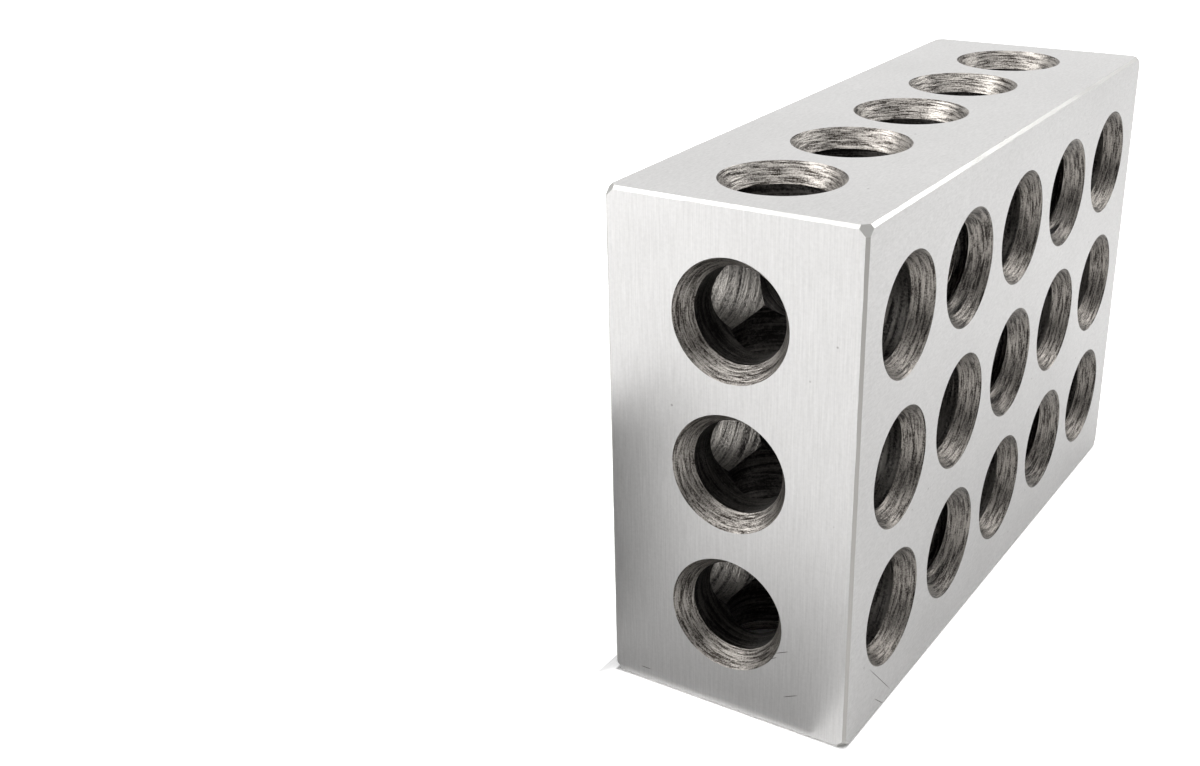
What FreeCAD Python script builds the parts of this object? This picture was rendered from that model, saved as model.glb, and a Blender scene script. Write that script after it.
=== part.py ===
"""Machinist setup block: a 1-2-3 block, 25.4 x 50.8 x 76.2 mm, with 23 holes.

The block is one piece of hardened and ground steel. It stands on a narrow
long face: X is its length, Y its thickness and Z its height, and the origin
is at the middle of the bottom face.

Three sets of holes run right through it and meet inside, one at each crossing
of the grid: 15 across the thickness, 5 through the height and 3 along the
length. Five of the 15 are tapped 3/8-16. They are left here at their tap
drill size. Every mouth is countersunk.
"""

import FreeCAD, Part

import math
import os

from FreeCAD import Rotation, Vector

# ---- Driving dimensions, in millimetres ------------------------------------

LENGTH = 76.2          # X, 3 in
THICKNESS = 25.4       # Y, 1 in
HEIGHT = 50.8          # Z, 2 in

EDGE_BREAK = 0.45      # ground chamfer along all twelve edges
CORNER_BREAK = 1.3     # length that each dubbed corner takes off its three edges

COLUMNS = 5
COLUMN_PITCH = 14.2875     # 9/16 in along X, so the outer columns are 3/8 in in
ROWS = 3
ROW_PITCH = 14.8           # along Z

PLAIN_DIAMETER = 9.2       # the 18 drilled holes
TAP_DRILL_DIAMETER = 7.94  # 5/16 in, under a 3/8-16 thread
MOUTH_DIAMETER = 11.7      # outer edge of every countersink
SINK_DEPTH = 1.9           # depth of every countersink

# (column, row) of the tapped holes, counted from the middle of the grid
TAPPED = {(-1, -1), (1, -1), (0, 0), (-1, 1), (1, 1)}

OVERRUN = 1.0              # how far each cutter runs past the faces


# ---- Helpers ---------------------------------------------------------------

def offsets(count):
    """Whole-number places of `count` holes about the middle, such as -1, 0, 1."""
    return [i - (count - 1) // 2 for i in range(count)]


def hole_cutter(centre, axis, span, diameter):
    """One through hole with its two countersinks, turned from a half profile.

    `centre` is the middle of the block on the hole's line, `axis` the way the
    hole runs and `span` the size of the block that way.
    """
    bore = diameter / 2
    mouth = MOUTH_DIAMETER / 2
    end = span / 2
    flare = mouth + (mouth - bore) / SINK_DEPTH * OVERRUN
    profile = [
        (0, -end - OVERRUN), (flare, -end - OVERRUN),
        (bore, -end + SINK_DEPTH), (bore, end - SINK_DEPTH),
        (flare, end + OVERRUN), (0, end + OVERRUN),
    ]
    points = [Vector(radius, 0, along) for radius, along in profile]
    face = Part.Face(Part.makePolygon(points + points[:1]))
    cutter = face.revolve(Vector(0, 0, 0), Vector(0, 0, 1), 360)
    cutter.Placement = FreeCAD.Placement(centre, Rotation(Vector(0, 0, 1), axis))
    return cutter


def corner_cutter(corner, middle):
    """The small pyramid that is dubbed off one corner of the block."""
    inward = [math.copysign(1, middle[i] - corner[i]) for i in range(3)]
    tip = Vector(corner)
    feet = []
    for i in range(3):
        step = [0, 0, 0]
        step[i] = inward[i] * CORNER_BREAK
        feet.append(tip + Vector(*step))
    # the pyramid's outer point is pushed out, so that its three walls clear the block
    outer = tip - Vector(*inward) * CORNER_BREAK
    faces = [Part.Face(Part.makePolygon([a, b, c, a])) for a, b, c in (
        (feet[0], feet[1], feet[2]), (outer, feet[0], feet[1]),
        (outer, feet[1], feet[2]), (outer, feet[2], feet[0]))]
    solid = Part.Solid(Part.Shell(faces))
    if solid.Volume < 0:
        solid.reverse()
    return solid


# ---- The block -------------------------------------------------------------

def ground_blank():
    """The block before drilling: edges chamfered, corners dubbed."""
    low = Vector(-LENGTH / 2, -THICKNESS / 2, 0)
    blank = Part.makeBox(LENGTH, THICKNESS, HEIGHT, low)
    blank = blank.makeChamfer(EDGE_BREAK, blank.Edges)
    middle = Vector(0, 0, HEIGHT / 2)
    for x in (-LENGTH / 2, LENGTH / 2):
        for y in (-THICKNESS / 2, THICKNESS / 2):
            for z in (0, HEIGHT):
                blank = blank.cut(corner_cutter(Vector(x, y, z), middle))
    return blank


def hole_cutters():
    """The 23 holes: across the thickness, through the height, along the length."""
    cutters = []
    for column in offsets(COLUMNS):
        x = column * COLUMN_PITCH
        cutters.append(hole_cutter(Vector(x, 0, HEIGHT / 2), Vector(0, 0, 1), HEIGHT, PLAIN_DIAMETER))
        for row in offsets(ROWS):
            diameter = TAP_DRILL_DIAMETER if (column, row) in TAPPED else PLAIN_DIAMETER
            centre = Vector(x, 0, HEIGHT / 2 + row * ROW_PITCH)
            cutters.append(hole_cutter(centre, Vector(0, 1, 0), THICKNESS, diameter))
    for row in offsets(ROWS):
        centre = Vector(0, 0, HEIGHT / 2 + row * ROW_PITCH)
        cutters.append(hole_cutter(centre, Vector(1, 0, 0), LENGTH, PLAIN_DIAMETER))
    return cutters


def setup_block():
    """The finished block, as one solid."""
    block = ground_blank()
    for cutter in hole_cutters():
        block = block.cut(cutter)
    solid = block.Solids[0]
    if len(block.Solids) != 1 or not solid.isValid():
        raise RuntimeError("the block did not come out as one valid solid")
    return solid


os.makedirs("parts", exist_ok=True)
block = setup_block()
block.exportStep("parts/setup_block.step")
print("setup_block: volume %.1f cm3, %d faces" % (block.Volume / 1000, len(block.Faces)))
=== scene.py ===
"""Look of the machinist setup block: ground steel, dark drilled holes and cut threads.

Everything is in metres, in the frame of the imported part: X along the length,
Y through the thickness, Z up, and the origin at the middle of the base.
"""

import logging
import math
from dataclasses import dataclass, field
from enum import Enum

import bmesh
import bpy
from mathutils import Euler, Matrix, Vector, noise


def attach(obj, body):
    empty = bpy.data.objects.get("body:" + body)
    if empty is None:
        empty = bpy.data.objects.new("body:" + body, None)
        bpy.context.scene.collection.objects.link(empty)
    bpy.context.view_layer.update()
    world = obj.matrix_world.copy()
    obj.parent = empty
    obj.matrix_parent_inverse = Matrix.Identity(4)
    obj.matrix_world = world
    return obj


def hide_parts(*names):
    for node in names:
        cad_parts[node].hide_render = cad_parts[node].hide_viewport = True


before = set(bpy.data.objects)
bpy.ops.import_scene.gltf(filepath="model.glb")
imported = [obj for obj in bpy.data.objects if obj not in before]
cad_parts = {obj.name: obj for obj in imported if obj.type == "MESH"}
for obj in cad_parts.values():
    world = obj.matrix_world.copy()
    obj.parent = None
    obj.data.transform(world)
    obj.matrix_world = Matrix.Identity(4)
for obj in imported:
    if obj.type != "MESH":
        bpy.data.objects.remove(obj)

MM = 0.001
LENGTH = 76.2 * MM
THICKNESS = 25.4 * MM
HEIGHT = 50.8 * MM
LOG = logging.getLogger("setup_block")


class Axis(Enum):
    """A direction of the block that a hole runs along or a grain lies along."""

    X = 0
    Y = 1
    Z = 2

    def vector(self) -> Vector:
        """Gives the unit vector of this axis.

        Returns:
            The vector.
        """
        unit = Vector((0, 0, 0))
        unit[self.value] = 1
        return unit


# ---- Small helpers ---------------------------------------------------------


def linear(hex_colour: str) -> tuple[float, float, float, float]:
    """Turns an sRGB hex colour into the linear colour that shaders take.

    Args:
        hex_colour: Six hex digits with a leading hash.

    Returns:
        Linear red, green, blue and an alpha of one.
    """
    parts = [int(hex_colour[i:i + 2], 16) / 255 for i in (1, 3, 5)]
    red, green, blue = (c / 12.92 if c <= 0.04045 else ((c + 0.055) / 1.055) ** 2.4 for c in parts)
    return red, green, blue, 1.0


def add_node(tree: bpy.types.NodeTree, kind: str, settings: dict | None = None,
             values: dict | None = None, links: dict | None = None) -> bpy.types.Node:
    """Adds a node to a tree with its settings, socket values and incoming links.

    Args:
        tree: The node tree to add to.
        kind: The node's type name.
        settings: Attributes of the node itself.
        values: Default values of its input sockets, by name or index.
        links: Output sockets to join to its inputs, by name or index.

    Returns:
        The new node.
    """
    node = tree.nodes.new(kind)
    for name, value in (settings or {}).items():
        setattr(node, name, value)
    for socket, value in (values or {}).items():
        node.inputs[socket].default_value = value
    for socket, source in (links or {}).items():
        tree.links.new(source, node.inputs[socket])
    return node


def blank_material(name: str) -> tuple[bpy.types.Material, bpy.types.NodeTree]:
    """Makes a material with an empty node tree.

    Args:
        name: The material's name.

    Returns:
        The material and its tree.
    """
    material = bpy.data.materials.new(name)
    material.use_nodes = True
    material.node_tree.nodes.clear()
    return material, material.node_tree


def per_mm(size: float) -> float:
    """Gives the pattern scale whose features are about a given size across.

    Args:
        size: Size of a feature in millimetres.

    Returns:
        Features in a metre.
    """
    return 1 / (size * MM)


def activate(obj: bpy.types.Object) -> None:
    """Makes one object the only selected one and the active one.

    Args:
        obj: The object.
    """
    bpy.ops.object.select_all(action="DESELECT")
    obj.select_set(True)
    bpy.context.view_layer.objects.active = obj


def apply_modifier(obj: bpy.types.Object, kind: str, settings: dict) -> None:
    """Adds one modifier to an object, sets it and applies it.

    Args:
        obj: The object that the modifier shapes.
        kind: The modifier's type name.
        settings: Its attributes.
    """
    activate(obj)
    modifier = obj.modifiers.new(kind.lower(), kind)
    for name, value in settings.items():
        setattr(modifier, name, value)
    bpy.ops.object.modifier_apply(modifier=modifier.name)


# ---- Finishes --------------------------------------------------------------


@dataclass(frozen=True)
class Scratch:
    """A hair scratch across a ground face, given by its middle and direction."""

    middle: tuple[float, float, float]
    turn: tuple[float, float, float]
    length_mm: float
    width_mm: float = 0.09
    reach: float = 0.5 * MM

    def mask(self, tree: bpy.types.NodeTree, place: bpy.types.NodeSocket) -> bpy.types.NodeSocket:
        """Adds nodes that give one along the scratch and nothing away from it.

        Args:
            tree: The material's node tree.
            place: The object coordinates.

        Returns:
            The socket with the mask.
        """
        local = add_node(tree, "ShaderNodeMapping", {"vector_type": "TEXTURE"},
                         {"Location": self.middle, "Rotation": [math.radians(a) for a in self.turn],
                          "Scale": (self.length_mm / 2 * MM, self.reach, self.width_mm / 2 * MM)},
                         {"Vector": place})
        away = add_node(tree, "ShaderNodeVectorMath", {"operation": "ABSOLUTE"}, None,
                        {0: local.outputs[0]})
        parts = add_node(tree, "ShaderNodeSeparateXYZ", None, None, {0: away.outputs[0]})
        along = add_node(tree, "ShaderNodeMath", {"operation": "MAXIMUM"}, None,
                         {0: parts.outputs[0], 1: parts.outputs[1]})
        farthest = add_node(tree, "ShaderNodeMath", {"operation": "MAXIMUM"}, None,
                            {0: along.outputs[0], 1: parts.outputs[2]})
        return add_node(tree, "ShaderNodeMapRange", None,
                        {"From Min": 0.5, "From Max": 1.0, "To Min": 1.0, "To Max": 0.0},
                        {"Value": farthest.outputs[0]}).outputs[0]


END_FACE = -LENGTH / 2
BROAD_FACE = -THICKNESS / 2
END_SCRATCHES = (
    Scratch((END_FACE, -5 * MM, 7.5 * MM), (0, -150, 90), 1.2),
    Scratch((END_FACE, -6 * MM, 8.5 * MM), (0, -155, 90), 1.5),
    Scratch((END_FACE, -7 * MM, 4 * MM), (0, -155, 90), 1.7),
    Scratch((END_FACE, 9 * MM, 1.5 * MM), (0, 180, 90), 1.2),
)
BROAD_SCRATCHES = (
    Scratch((-30.5 * MM, BROAD_FACE, 3.5 * MM), (0, 45, 0), 8),
    Scratch((-30.5 * MM, BROAD_FACE, 1 * MM), (0, 40, 0), 3),
)


@dataclass(frozen=True)
class SurfaceGround:
    """Hardened tool steel, surface ground: pale, satin, with fine wheel lines.

    The lines show as faint streaks along one axis, and the metal takes a broad
    soft sheen rather than a mirror image.
    """

    name: str
    grain: Axis
    colour: str = "#cecdcc"
    dull: str = "#bdbcbb"
    roughness: float = 0.42
    line_width_mm: float = 0.16
    line_length_mm: float = 4.0
    speckle_mm: float = 0.35
    cloud_mm: float = 14.0
    depth: float = 0.25
    depth_mm: float = 0.01
    speck: str = "#55514c"
    speck_mm: float = 0.16
    speck_gap_mm: float = 3.5
    scratches: tuple[Scratch, ...] = ()

    def material(self) -> bpy.types.Material:
        """Builds the material.

        Returns:
            The material.
        """
        material, tree = blank_material(self.name)
        place = add_node(tree, "ShaderNodeTexCoord").outputs["Object"]
        stretch = [per_mm(self.line_width_mm)] * 3
        stretch[self.grain.value] = per_mm(self.line_length_mm)
        stretched = add_node(tree, "ShaderNodeMapping", None, {"Scale": stretch}, {"Vector": place})
        lines = add_node(tree, "ShaderNodeTexNoise", None,
                         {"Scale": 1.0, "Detail": 4.0, "Roughness": 0.6},
                         {"Vector": stretched.outputs[0]})
        speckle = add_node(tree, "ShaderNodeTexNoise", None,
                           {"Scale": per_mm(self.speckle_mm), "Detail": 3.0, "Roughness": 0.7},
                           {"Vector": place})
        cloud = add_node(tree, "ShaderNodeTexNoise", None,
                         {"Scale": per_mm(self.cloud_mm), "Detail": 2.0}, {"Vector": place})
        blend = add_node(tree, "ShaderNodeMath", {"operation": "MULTIPLY"}, {1: 0.2},
                         {0: cloud.outputs["Fac"]})
        for share, pattern in ((0.3, speckle), (0.5, lines)):
            blend = add_node(tree, "ShaderNodeMath", {"operation": "MULTIPLY_ADD"}, {1: share},
                             {0: pattern.outputs["Fac"], 2: blend.outputs[0]})
        tone = add_node(tree, "ShaderNodeMapRange", None,
                        {"From Min": 0.36, "From Max": 0.64}, {"Value": blend.outputs[0]})
        paint = add_node(tree, "ShaderNodeMix", {"data_type": "RGBA"},
                         {"A": linear(self.dull), "B": linear(self.colour)},
                         {"Factor": tone.outputs[0]})
        dots = add_node(tree, "ShaderNodeTexVoronoi", None,
                        {"Scale": per_mm(self.speck_gap_mm)}, {"Vector": place})
        speck_size = self.speck_mm / self.speck_gap_mm
        speck = add_node(tree, "ShaderNodeMapRange", None,
                         {"From Min": 0.35 * speck_size, "From Max": speck_size,
                          "To Min": 0.55, "To Max": 0.0}, {"Value": dots.outputs["Distance"]})
        marks = speck.outputs[0]
        for scratch in self.scratches:
            marks = add_node(tree, "ShaderNodeMath", {"operation": "MAXIMUM"}, None,
                             {0: marks, 1: scratch.mask(tree, place)}).outputs[0]
        pitted = add_node(tree, "ShaderNodeMix", {"data_type": "RGBA"}, {"B": linear(self.speck)},
                          {"Factor": marks, "A": paint.outputs["Result"]})
        bump = add_node(tree, "ShaderNodeBump", None,
                        {"Strength": self.depth, "Distance": self.depth_mm * MM},
                        {"Height": blend.outputs[0]})
        metal = add_node(tree, "ShaderNodeBsdfPrincipled", None,
                         {"Metallic": 1.0, "Roughness": self.roughness},
                         {"Base Color": pitted.outputs["Result"], "Normal": bump.outputs[0]})
        add_node(tree, "ShaderNodeOutputMaterial", None, None, {"Surface": metal.outputs[0]})
        return material


@dataclass(frozen=True)
class StonedEdge:
    """The edge break, run over by hand with a stone: bright, uneven bare steel."""

    name: str = "stoned_edge_bare_steel"
    colour: str = "#d6d5d2"
    roughness: float = 0.36
    grit_mm: float = 0.5
    depth_mm: float = 0.03

    def material(self) -> bpy.types.Material:
        """Builds the material.

        Returns:
            The material.
        """
        material, tree = blank_material(self.name)
        place = add_node(tree, "ShaderNodeTexCoord").outputs["Object"]
        grit = add_node(tree, "ShaderNodeTexNoise", None,
                        {"Scale": per_mm(self.grit_mm), "Detail": 3.0}, {"Vector": place})
        bump = add_node(tree, "ShaderNodeBump", None,
                        {"Strength": 0.4, "Distance": self.depth_mm * MM},
                        {"Height": grit.outputs["Fac"]})
        metal = add_node(tree, "ShaderNodeBsdfPrincipled", None,
                         {"Metallic": 1.0, "Roughness": self.roughness,
                          "Base Color": linear(self.colour)}, {"Normal": bump.outputs[0]})
        add_node(tree, "ShaderNodeOutputMaterial", None, None, {"Surface": metal.outputs[0]})
        return material


@dataclass(frozen=True)
class ScaledCut:
    """A cut wall under brown-black heat-treatment scale, with its tool marks.

    The tool leaves ragged rings round the hole, so the pattern is long across
    the hole's axis and short along it. Bare metal glints on the ring crests and
    in small torn flecks.
    """

    name: str
    axis: Axis
    scale: str
    bare: str
    bare_share: float
    roughness: float
    ring_mm: float
    ring_length_mm: float
    fleck_mm: float
    depth_mm: float
    fleck_share: float = 0.55
    edge_softness: float = 0.12

    def material(self) -> bpy.types.Material:
        """Builds the material.

        Returns:
            The material.
        """
        material, tree = blank_material(self.name)
        place = add_node(tree, "ShaderNodeTexCoord").outputs["Object"]
        stretch = [per_mm(self.ring_length_mm)] * 3
        stretch[self.axis.value] = per_mm(self.ring_mm)
        stretched = add_node(tree, "ShaderNodeMapping", None, {"Scale": stretch}, {"Vector": place})
        rings = add_node(tree, "ShaderNodeTexNoise", None,
                         {"Scale": 1.0, "Detail": 4.0, "Roughness": 0.62, "Distortion": 0.5},
                         {"Vector": stretched.outputs[0]})
        flecks = add_node(tree, "ShaderNodeTexNoise", None,
                          {"Scale": per_mm(self.fleck_mm), "Detail": 3.0, "Roughness": 0.75},
                          {"Vector": place})
        height = add_node(tree, "ShaderNodeMath", {"operation": "MULTIPLY_ADD"},
                          {1: self.fleck_share},
                          {0: flecks.outputs["Fac"], 2: rings.outputs["Fac"]})
        middle = 0.92 - 0.3 * self.bare_share
        crest = add_node(tree, "ShaderNodeMapRange", None,
                         {"From Min": middle - self.edge_softness,
                          "From Max": middle + self.edge_softness},
                         {"Value": height.outputs[0]})
        paint = add_node(tree, "ShaderNodeMix", {"data_type": "RGBA"},
                         {"A": linear(self.scale), "B": linear(self.bare)},
                         {"Factor": crest.outputs[0]})
        bump = add_node(tree, "ShaderNodeBump", None,
                        {"Strength": 1.0, "Distance": self.depth_mm * MM},
                        {"Height": height.outputs[0]})
        metal = add_node(tree, "ShaderNodeBsdfPrincipled", None,
                         {"Metallic": 0.9, "Roughness": self.roughness},
                         {"Base Color": paint.outputs["Result"], "Normal": bump.outputs[0]})
        add_node(tree, "ShaderNodeOutputMaterial", None, None, {"Surface": metal.outputs[0]})
        return material


def countersink_finish(axis: Axis) -> ScaledCut:
    """Describes the countersinks along one axis: fine ragged rings that glint.

    Those of the cross holes are painted darker, as shade.

    Args:
        axis: Direction of the holes.

    Returns:
        The finish.
    """
    # The cross holes' countersinks get darker scale and bare colours: painted shade.
    scale, bare = ("#2b2724", "#96918b") if axis is Axis.Y else ("#35302c", "#b4afa9")
    return ScaledCut(f"countersunk_scale_{axis.name.lower()}", axis, scale, bare, bare_share=0.5,
                     roughness=0.32, ring_mm=0.17, ring_length_mm=2.2, fleck_mm=0.16, depth_mm=0.07)


def bore_finish(axis: Axis) -> ScaledCut:
    """Describes the drilled walls along one axis: coarse feed rings, black scale.

    Those of the cross holes have their scale painted darker, as shade, and show more bare metal
    between the rings.

    Args:
        axis: Direction of the holes.

    Returns:
        The finish.
    """
    if axis is Axis.Y:
        # The cross holes' walls take darker scale: painted shade.
        return ScaledCut("drilled_scale_painted_shade_y", axis, "#161413", "#74716d", bare_share=0.6,
                         roughness=0.36, ring_mm=0.55, ring_length_mm=7.0, fleck_mm=0.25,
                         depth_mm=0.12)
    return ScaledCut(f"drilled_black_scale_{axis.name.lower()}", axis, "#1e1c1b", "#5c5956",
                     bare_share=0.4, roughness=0.45, ring_mm=0.5, ring_length_mm=6.0, fleck_mm=0.3,
                     depth_mm=0.1)


def crest_finish() -> ScaledCut:
    """Describes the flat crests between the threads, rubbed bright by bolts.

    Returns:
        The finish.
    """
    return ScaledCut("tapped_crest_steel", Axis.Y, "#5a544e", "#d0ccc6", bare_share=0.6,
                     roughness=0.32, ring_mm=0.17, ring_length_mm=2.2, fleck_mm=0.2, depth_mm=0.04)


def thread_finish() -> ScaledCut:
    """Describes the flanks and roots of the threads, which keep the black scale.

    Returns:
        The finish.
    """
    return ScaledCut("tapped_black_scale", Axis.Y, "#211f1d", "#77736e", bare_share=0.35,
                     roughness=0.4, ring_mm=0.2, ring_length_mm=2.0, fleck_mm=0.2, depth_mm=0.04)


# ---- The block -------------------------------------------------------------


@dataclass
class GroundBlank:
    """The block before drilling, with its edges stoned and its corners dubbed."""

    length: float = LENGTH
    thickness: float = THICKNESS
    height: float = HEIGHT
    edge_break: float = 0.3 * MM
    corner_break: float = 1.2 * MM
    edge_pieces: int = 44
    long_edge: float = 10 * MM
    corner_reach: float = 3 * MM
    wander: float = 0.07 * MM
    short_wave: float = 2.2 * MM
    long_wave: float = 11 * MM

    def build(self) -> bpy.types.Object:
        """Models the blank.

        Returns:
            The blank, standing on its base.
        """
        bpy.ops.object.select_all(action="DESELECT")
        bpy.ops.mesh.primitive_cube_add(size=1, location=(0, 0, self.height / 2),
                                        scale=(self.length, self.thickness, self.height))
        blank = bpy.context.object
        blank.name = blank.data.name = "ground_block"
        bpy.ops.object.transform_apply(location=True, rotation=True, scale=True)
        bpy.ops.object.mode_set(mode="EDIT")
        bpy.ops.mesh.select_all(action="SELECT")
        bpy.ops.mesh.bevel(offset=self.edge_break, offset_type="OFFSET", segments=1, affect="EDGES")
        self.dub_corners()
        self.divide_edges(blank)
        bpy.ops.object.mode_set(mode="OBJECT")
        self.unsettle_edges(blank)
        return blank

    def dub_corners(self) -> None:
        """Slices a small facet off each of the eight corners."""
        for x in (-1, 1):
            for y in (-1, 1):
                for z in (-1, 1):
                    corner = Vector((x * self.length / 2, y * self.thickness / 2,
                                     self.height / 2 + z * self.height / 2))
                    outward = Vector((x, y, z))
                    bpy.ops.mesh.select_all(action="SELECT")
                    bpy.ops.mesh.bisect(plane_co=corner - Vector((x * self.corner_break, 0, 0)),
                                        plane_no=outward, use_fill=True, clear_outer=True)

    def divide_edges(self, blank: bpy.types.Object) -> None:
        """Cuts the long rims of the edge breaks into short pieces.

        Args:
            blank: The block, in edit mode.
        """
        mesh = bmesh.from_edit_mesh(blank.data)
        bpy.ops.mesh.select_all(action="DESELECT")
        bpy.ops.mesh.select_mode(type="EDGE")
        for edge in mesh.edges:
            edge.select_set(edge.calc_length() > self.long_edge)
        bmesh.update_edit_mesh(blank.data)
        bpy.ops.mesh.subdivide(number_cuts=self.edge_pieces)

    def unsettle_edges(self, blank: bpy.types.Object) -> None:
        """Lets the width of each edge break wander a little, as a hand stone leaves it.

        Every rim point stays in the plane of its ground face.

        Args:
            blank: The block, in object mode.
        """
        half = Vector((self.length / 2, self.thickness / 2, self.height / 2))
        for vertex in blank.data.vertices:
            place = vertex.co - Vector((0, 0, half.z))
            gaps = [half[i] - abs(place[i]) for i in range(3)]
            flat = gaps.index(min(gaps))
            near_corner = max(gaps) < self.corner_reach
            for i in range(3):
                if i != flat and gaps[i] < 1.3 * self.edge_break and not near_corner:
                    shift = noise.noise(vertex.co / self.short_wave + Vector((7 * flat, 3 * i, 0)))
                    shift += 0.6 * noise.noise(vertex.co / self.long_wave + Vector((i, 5, flat)))
                    vertex.co[i] += math.copysign(shift * self.wander, place[i])


@dataclass
class HoleCutter:
    """What the drill and the two countersinks take away in one through hole."""

    span: float
    bore_radius: float
    mouth_radius: float = 5.85 * MM
    sink_depth: float = 1.9 * MM
    overrun: float = 1.0 * MM
    sides: int = 96

    def model(self, bore: bpy.types.Material, sink: bpy.types.Material) -> bpy.types.Object:
        """Models the cutter along Z, with its middle at the origin.

        Args:
            bore: Finish of the drilled wall.
            sink: Finish of the two countersinks.

        Returns:
            The cutter.
        """
        end = self.span / 2
        bpy.ops.object.select_all(action="DESELECT")
        bpy.ops.mesh.primitive_cylinder_add(vertices=self.sides, radius=self.bore_radius,
                                            depth=2 * (end + self.overrun))
        cutter = bpy.context.object
        bpy.ops.object.mode_set(mode="EDIT")
        for level in (end - self.sink_depth, -end + self.sink_depth):
            bpy.ops.mesh.select_all(action="SELECT")
            bpy.ops.mesh.bisect(plane_co=(0, 0, level), plane_no=(0, 0, 1))
        bpy.ops.mesh.select_mode(type="VERT")
        bpy.ops.mesh.select_all(action="DESELECT")
        mesh = bmesh.from_edit_mesh(cutter.data)
        for vertex in mesh.verts:
            vertex.select_set(abs(vertex.co.z) > end)
        bmesh.update_edit_mesh(cutter.data)
        slope = (self.mouth_radius - self.bore_radius) / self.sink_depth
        widen = (self.mouth_radius + slope * self.overrun) / self.bore_radius
        bpy.ops.transform.resize(value=(widen, widen, 1), center_override=(0, 0, 0))
        bpy.ops.object.mode_set(mode="OBJECT")
        cutter.data.materials.append(bore)
        cutter.data.materials.append(sink)
        for face in cutter.data.polygons:
            face.material_index = int(abs(face.center.z) > end - self.sink_depth)
        return cutter


@dataclass
class TapCutter(HoleCutter):
    """A hole cutter with the helical ridge of a unified coarse tap round it."""

    pitch: float = 25.4 / 16 * MM
    major_radius: float = 9.525 / 2 * MM
    flank_angle: float = math.radians(30)
    sunk_in: float = 0.15 * MM
    weld: float = 0.001 * MM
    steps: int = 48

    def ridge(self, finish: bpy.types.Material) -> bpy.types.Object:
        """Models the helical ridge, closed at both ends, which lie in the countersinks.

        Args:
            finish: Finish of the thread's flanks and root.

        Returns:
            The ridge, round the Z axis.
        """
        inner = self.bore_radius - self.sunk_in
        root = self.pitch / 16
        foot = root + (self.major_radius - inner) * math.tan(self.flank_angle)
        turns = math.ceil(self.span / self.pitch) - 1
        bpy.ops.object.select_all(action="DESELECT")
        bpy.ops.mesh.primitive_plane_add(size=1)
        ridge = bpy.context.object
        for vertex in ridge.data.vertices:
            outer = vertex.co.x > 0
            half = root if outer else foot
            vertex.co = Vector((self.major_radius if outer else inner, 0,
                                math.copysign(half, vertex.co.y) - turns * self.pitch / 2))
        apply_modifier(ridge, "SCREW", {"axis": "Z", "angle": 2 * math.pi,
                                        "screw_offset": self.pitch, "iterations": turns,
                                        "steps": self.steps, "render_steps": self.steps,
                                        "use_merge_vertices": False})
        bpy.ops.object.mode_set(mode="EDIT")
        bpy.ops.mesh.select_all(action="SELECT")
        bpy.ops.mesh.remove_doubles(threshold=self.weld)
        bpy.ops.mesh.fill_holes(sides=4)
        bpy.ops.mesh.select_all(action="SELECT")
        bpy.ops.mesh.normals_make_consistent(inside=False)
        bpy.ops.object.mode_set(mode="OBJECT")
        ridge.data.materials.clear()
        ridge.data.materials.append(finish)
        return ridge

    def threaded(self, bore: bpy.types.Material, sink: bpy.types.Material,
                 finish: bpy.types.Material) -> bpy.types.Object:
        """Models the plain cutter and joins the ridge to it.

        Args:
            bore: Finish of the thread's crests, which the tap drill left.
            sink: Finish of the two countersinks.
            finish: Finish of the thread's flanks and root.

        Returns:
            The cutter, along Z.
        """
        cutter = self.model(bore, sink)
        ridge = self.ridge(finish)
        apply_modifier(cutter, "BOOLEAN", {"operation": "UNION", "object": ridge,
                                           "solver": "EXACT", "material_mode": "TRANSFER"})
        bpy.data.objects.remove(ridge)
        return cutter


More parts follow.
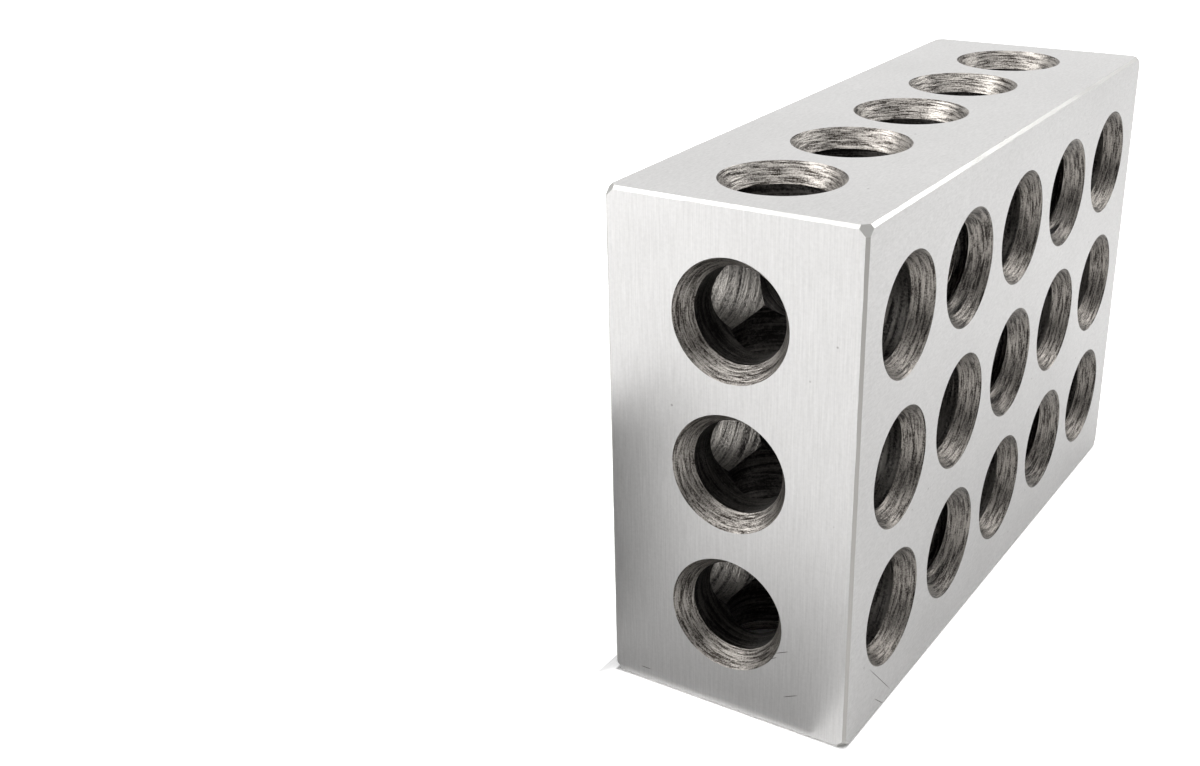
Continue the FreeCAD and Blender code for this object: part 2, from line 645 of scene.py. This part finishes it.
@dataclass
class SetupBlock:
    """The whole block: the ground blank with its three sets of holes cut in it.

    The upright and lengthwise holes sit a hair off the middle, and the cutters
    of each direction are turned a little differently, so that no two cuts touch
    exactly and the mesh stays closed.
    """

    blank: GroundBlank = field(default_factory=GroundBlank)
    columns: int = 5
    column_pitch: float = 14.2875 * MM
    rows: int = 3
    row_pitch: float = 14.8 * MM
    plain_radius: float = 4.6 * MM
    tap_drill_radius: float = 3.97 * MM
    drill_wander: float = 0.05 * MM
    weld: float = 0.0008 * MM
    spin: float = 1.1
    smooth_angle: float = 22
    tapped: tuple[tuple[int, int], ...] = ((-1, -1), (1, -1), (0, 0), (-1, 1), (1, 1))

    def steps(self, count: int, pitch: float) -> list[tuple[int, float]]:
        """Gives even places about a middle.

        Args:
            count: How many places, an odd number.
            pitch: Distance between neighbours.

        Returns:
            Each place's number, counted from the middle, and its offset.
        """
        return [(n, n * pitch) for n in range(-(count // 2), count // 2 + 1)]

    def cut(self, block: bpy.types.Object, cutter: bpy.types.Object, axis: Axis,
            centre: Vector) -> None:
        """Takes a copy of a cutter out of the block.

        Args:
            block: The block.
            cutter: A cutter made along Z about the origin.
            axis: Direction of the hole.
            centre: Middle of the hole.
        """
        tool = cutter.copy()
        tool.data = cutter.data.copy()
        bpy.context.scene.collection.objects.link(tool)
        spin = Matrix.Rotation(math.radians(self.spin * axis.value), 4, "Z")
        turn = Vector((0, 0, 1)).rotation_difference(axis.vector()).to_matrix().to_4x4()
        tool.data.transform(Matrix.Translation(centre) @ turn @ spin)
        apply_modifier(block, "BOOLEAN", {"operation": "DIFFERENCE", "object": tool,
                                          "solver": "EXACT", "material_mode": "TRANSFER"})
        bpy.data.objects.remove(tool)
        bpy.ops.object.mode_set(mode="EDIT")
        bpy.ops.mesh.select_all(action="SELECT")
        bpy.ops.mesh.remove_doubles(threshold=self.weld)
        bpy.ops.object.mode_set(mode="OBJECT")

    def drill(self, block: bpy.types.Object) -> None:
        """Cuts the tapped holes, then every plain one through them.

        Args:
            block: The ground blank.
        """
        middle = self.blank.height / 2
        columns = self.steps(self.columns, self.column_pitch)
        rows = self.steps(self.rows, self.row_pitch)
        bores = {axis: bore_finish(axis).material() for axis in Axis}
        sinks = {axis: countersink_finish(axis).material() for axis in Axis}
        tap = TapCutter(self.blank.thickness, self.tap_drill_radius).threaded(
            crest_finish().material(), sinks[Axis.Y], thread_finish().material())
        spans = (self.blank.length, self.blank.thickness, self.blank.height)
        plain = {axis: HoleCutter(span, self.plain_radius).model(bores[axis], sinks[axis])
                 for axis, span in zip(Axis, spans)}
        for cutter, is_tap in ((tap, True), (plain[Axis.Y], False)):
            for column, x in columns:
                for row, z in rows:
                    if ((column, row) in self.tapped) == is_tap:
                        self.cut(block, cutter, Axis.Y, Vector((x, 0, middle + z)))
        for _, x in columns:
            self.cut(block, plain[Axis.Z], Axis.Z,
                     Vector((x + self.drill_wander, self.drill_wander, middle)))
        for _, z in rows:
            self.cut(block, plain[Axis.X], Axis.X,
                     Vector((0, -self.drill_wander, middle + z + self.drill_wander / 2)))
        for cutter in [tap, *plain.values()]:
            bpy.data.objects.remove(cutter)

    def dress(self, block: bpy.types.Object, faces: dict[Axis, bpy.types.Material],
              edge: bpy.types.Material, shaded_upright_edge: bpy.types.Material) -> None:
        """Gives the ground faces and the edge breaks their finishes.

        Args:
            block: The drilled block, whose blank faces still have the first slot.
            faces: Finish of the ground faces that look along each axis.
            edge: Finish of the level edge breaks and the corners.
            shaded_upright_edge: Finish of the four upright edge breaks: a darker copy of the edge
                finish, painted shade.
        """
        slots = {axis: len(block.data.materials) + i for i, axis in enumerate(faces)}
        for material in [*faces.values(), edge, shaded_upright_edge]:
            block.data.materials.append(material)
        edge_slot = len(block.data.materials) - 2
        for face in block.data.polygons:
            if face.material_index == 0:
                along = max(Axis, key=lambda axis: abs(face.normal[axis.value]))
                square = abs(face.normal[along.value]) > 0.999
                upright = abs(face.normal.z) < 0.1
                face.material_index = slots[along] if square else edge_slot + int(upright)

    def build(self) -> bpy.types.Object:
        """Models, drills and dresses the block.

        Returns:
            The finished block.
        """
        block = self.blank.build()
        placeholder, _ = blank_material("undressed_steel")
        block.data.materials.append(placeholder)
        self.drill(block)
        grounds = {
            Axis.X: SurfaceGround("ground_end_steel", Axis.Z, scratches=END_SCRATCHES).material(),
            Axis.Y: SurfaceGround("ground_broad_steel", Axis.X, line_length_mm=0.6,
                                  scratches=BROAD_SCRATCHES).material(),
            Axis.Z: SurfaceGround("ground_narrow_steel", Axis.X, line_length_mm=0.6).material(),
        }
        # The second, darker stoned edge finish is painted shade on the four upright edge breaks.
        self.dress(block, grounds, StonedEdge().material(),
                   StonedEdge("stoned_edge_painted_shade", "#9f9d9a", 0.45).material())
        activate(block)
        bpy.ops.object.shade_smooth_by_angle(angle=math.radians(self.smooth_angle))
        return block


# ---- The studio ------------------------------------------------------------


@dataclass
class SoftBox:
    """One square studio lamp."""

    name: str
    location: tuple[float, float, float]
    target: tuple[float, float, float]
    size: float
    power: float

    def build(self) -> None:
        """Hangs the lamp and aims it."""
        lamp = bpy.data.lights.new(self.name, "AREA")
        lamp.shape = "SQUARE"
        lamp.size = self.size
        lamp.energy = self.power
        holder = bpy.data.objects.new(self.name, lamp)
        bpy.context.scene.collection.objects.link(holder)
        holder.location = self.location
        aim = Vector(self.target) - Vector(self.location)
        holder.rotation_euler = aim.to_track_quat("-Z", "Y").to_euler()


@dataclass
class Flag:
    """A thin dark card out of the camera's sight, standing or lying.

    As a second block beside the first would, the cards darken what the lower
    left of the end face reflects and keep light out of the lowest holes. The
    lying card is a painted shadow of that block on the floor, seen only in
    reflections.
    """

    name: str
    low: tuple[float, float, float]
    high: tuple[float, float, float]
    colour: str
    shades: bool = False

    def build(self) -> None:
        """Cuts the card to its two opposite corners, sets which rays see it and gives it a plain
        diffuse material.
        """
        low, high = Vector(self.low), Vector(self.high)
        size = high - low
        bpy.ops.object.select_all(action="DESELECT")
        bpy.ops.mesh.primitive_plane_add(size=1)
        card = bpy.context.object
        card.name = card.data.name = self.name
        stand = Matrix.Rotation(math.radians(90), 4, "X") if size.z else Matrix.Identity(4)
        card.data.transform(Matrix.Translation((low + high) / 2) @ stand
                            @ Matrix.Diagonal((size.x, size.z or size.y, 1, 1)))
        card.visible_camera = False
        card.visible_shadow = self.shades
        card.visible_diffuse = self.shades
        card.visible_glossy = not self.shades
        material, tree = blank_material(f"{self.name}_felt")
        felt = add_node(tree, "ShaderNodeBsdfDiffuse", None, {"Color": linear(self.colour)})
        add_node(tree, "ShaderNodeOutputMaterial", None, None, {"Surface": felt.outputs[0]})
        card.data.materials.append(material)


@dataclass
class Studio:
    """White floor, soft lamps, dark flags and the camera."""

    floor_size: float = 1.1
    footprint: tuple[float, float] = (LENGTH, THICKNESS)
    floor_colour: str = "#f6f6f6"
    sky: float = 0.3
    floor_glow: float = 0.5
    camera_place: tuple[float, float, float] = (-144.5 * MM, -59.2 * MM, 87.5 * MM)
    camera_turn: tuple[float, float, float] = (66.515, 1.42, -56.209)
    lens: float = 45.03
    lamps: tuple[SoftBox, ...] = (
        SoftBox("overhead_softbox", (-0.05, -0.05, 0.80), (0, 0, 0), 0.6, 3.9),
        SoftBox("left_rear_softbox", (-0.35, 0.45, 0.35), (0, 0, 0.03), 0.55, 5.2),
        SoftBox("backdrop_panel", (0.60, 0.40, 0.33), (0, 0, 0.04), 0.9, 2.2),
        SoftBox("right_front_softbox", (0.55, -0.29, 0.52), (0, 0, 0.03), 0.3, 2.2),
    )
    flags: tuple[Flag, ...] = (
        Flag("reflected_flag", (-58.8 * MM, 18.5 * MM, 0), (-38.5 * MM, 18.5 * MM, 25.4 * MM),
             "#858585"),
        # A painted shadow: a grey sheet where the neighbouring block's shadow would lie on the
        # floor, seen only in reflections.
        Flag("floor_painted_shadow_card", (-66 * MM, -9 * MM, 0.2 * MM), (-38.6 * MM, 18.5 * MM, 0.2 * MM),
             "#a4a4a4"),
        Flag("shading_flag", (-39.5 * MM, 14 * MM, 0), (-20 * MM, 14 * MM, 25 * MM),
             "#2a2a2a", shades=True),
    )

    def build_floor(self) -> None:
        """Lays a wide plain white floor under the block.

        A glow that only the camera sees whitens it, except under the block,
        where it would shine up through the upright holes.
        """
        bpy.ops.object.select_all(action="DESELECT")
        bpy.ops.mesh.primitive_plane_add(size=self.floor_size, location=(0, 0, 0))
        floor = bpy.context.object
        floor.name = floor.data.name = "studio_floor"
        material, tree = blank_material("matt_white_paper")
        paper = add_node(tree, "ShaderNodeBsdfPrincipled", None,
                         {"Base Color": linear(self.floor_colour), "Roughness": 0.9,
                          "Specular IOR Level": 0.1})
        place = add_node(tree, "ShaderNodeTexCoord").outputs["Object"]
        spread = add_node(tree, "ShaderNodeVectorMath", {"operation": "MULTIPLY"},
                          {1: (2 / self.footprint[0], 2 / self.footprint[1], 0)}, {0: place})
        away = add_node(tree, "ShaderNodeVectorMath", {"operation": "ABSOLUTE"}, None,
                        {0: spread.outputs[0]})
        parts = add_node(tree, "ShaderNodeSeparateXYZ", None, None, {0: away.outputs[0]})
        farthest = add_node(tree, "ShaderNodeMath", {"operation": "MAXIMUM"}, None,
                            {0: parts.outputs[0], 1: parts.outputs[1]})
        outside = add_node(tree, "ShaderNodeMath", {"operation": "GREATER_THAN"}, {1: 1.0},
                           {0: farthest.outputs[0]})
        seen = add_node(tree, "ShaderNodeMath", {"operation": "MULTIPLY"}, None,
                        {0: add_node(tree, "ShaderNodeLightPath").outputs["Is Camera Ray"],
                         1: outside.outputs[0]})
        glow = add_node(tree, "ShaderNodeMath", {"operation": "MULTIPLY"}, {1: self.floor_glow},
                        {0: seen.outputs[0]})
        lift = add_node(tree, "ShaderNodeEmission", None, {"Color": (1, 1, 1, 1)},
                        {"Strength": glow.outputs[0]})
        both = add_node(tree, "ShaderNodeAddShader", None, None,
                        {0: paper.outputs[0], 1: lift.outputs[0]})
        add_node(tree, "ShaderNodeOutputMaterial", None, None, {"Surface": both.outputs[0]})
        floor.data.materials.append(material)

    def build_sky(self) -> None:
        """Sets the even white light of the room."""
        world = bpy.data.worlds.new("white_room")
        bpy.context.scene.world = world
        world.use_nodes = True
        tree = world.node_tree
        tree.nodes.clear()
        seen = add_node(tree, "ShaderNodeLightPath").outputs["Is Camera Ray"]
        strength = add_node(tree, "ShaderNodeMapRange", None, {"To Min": self.sky, "To Max": 1.0},
                            {"Value": seen})
        light = add_node(tree, "ShaderNodeBackground", None, {"Color": (1, 1, 1, 1)},
                         {"Strength": strength.outputs[0]})
        add_node(tree, "ShaderNodeOutputWorld", None, None, {"Surface": light.outputs[0]})

    def build_camera(self) -> None:
        """Stands the camera where it looks down on the block's near corner."""
        camera = bpy.data.cameras.new("camera")
        camera.lens = self.lens
        camera.sensor_width = 36
        camera.clip_start = 0.01
        camera.clip_end = 20
        stand = bpy.data.objects.new("camera", camera)
        bpy.context.scene.collection.objects.link(stand)
        stand.location = self.camera_place
        stand.rotation_euler = Euler([math.radians(a) for a in self.camera_turn])
        bpy.context.scene.camera = stand

    def build(self) -> None:
        """Sets up floor, light, camera and colour management."""
        self.build_floor()
        for flag in self.flags:
            flag.build()
        self.build_sky()
        for lamp in self.lamps:
            lamp.build()
        self.build_camera()
        bpy.context.scene.view_settings.view_transform = "Standard"


def main() -> None:
    """Builds the block and the studio, and reports each piece."""
    logging.basicConfig(level=logging.INFO, format="%(name)s: %(message)s")
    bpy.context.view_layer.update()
    block = SetupBlock().build()
    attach(block, "root")
    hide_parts("setup_block")
    LOG.info("%s: %d faces, %d materials", block.name, len(block.data.polygons),
             len(block.data.materials))
    Studio().build()
    LOG.info("studio: floor, sky, lamps and camera")


if __name__ == "__main__":
    main()
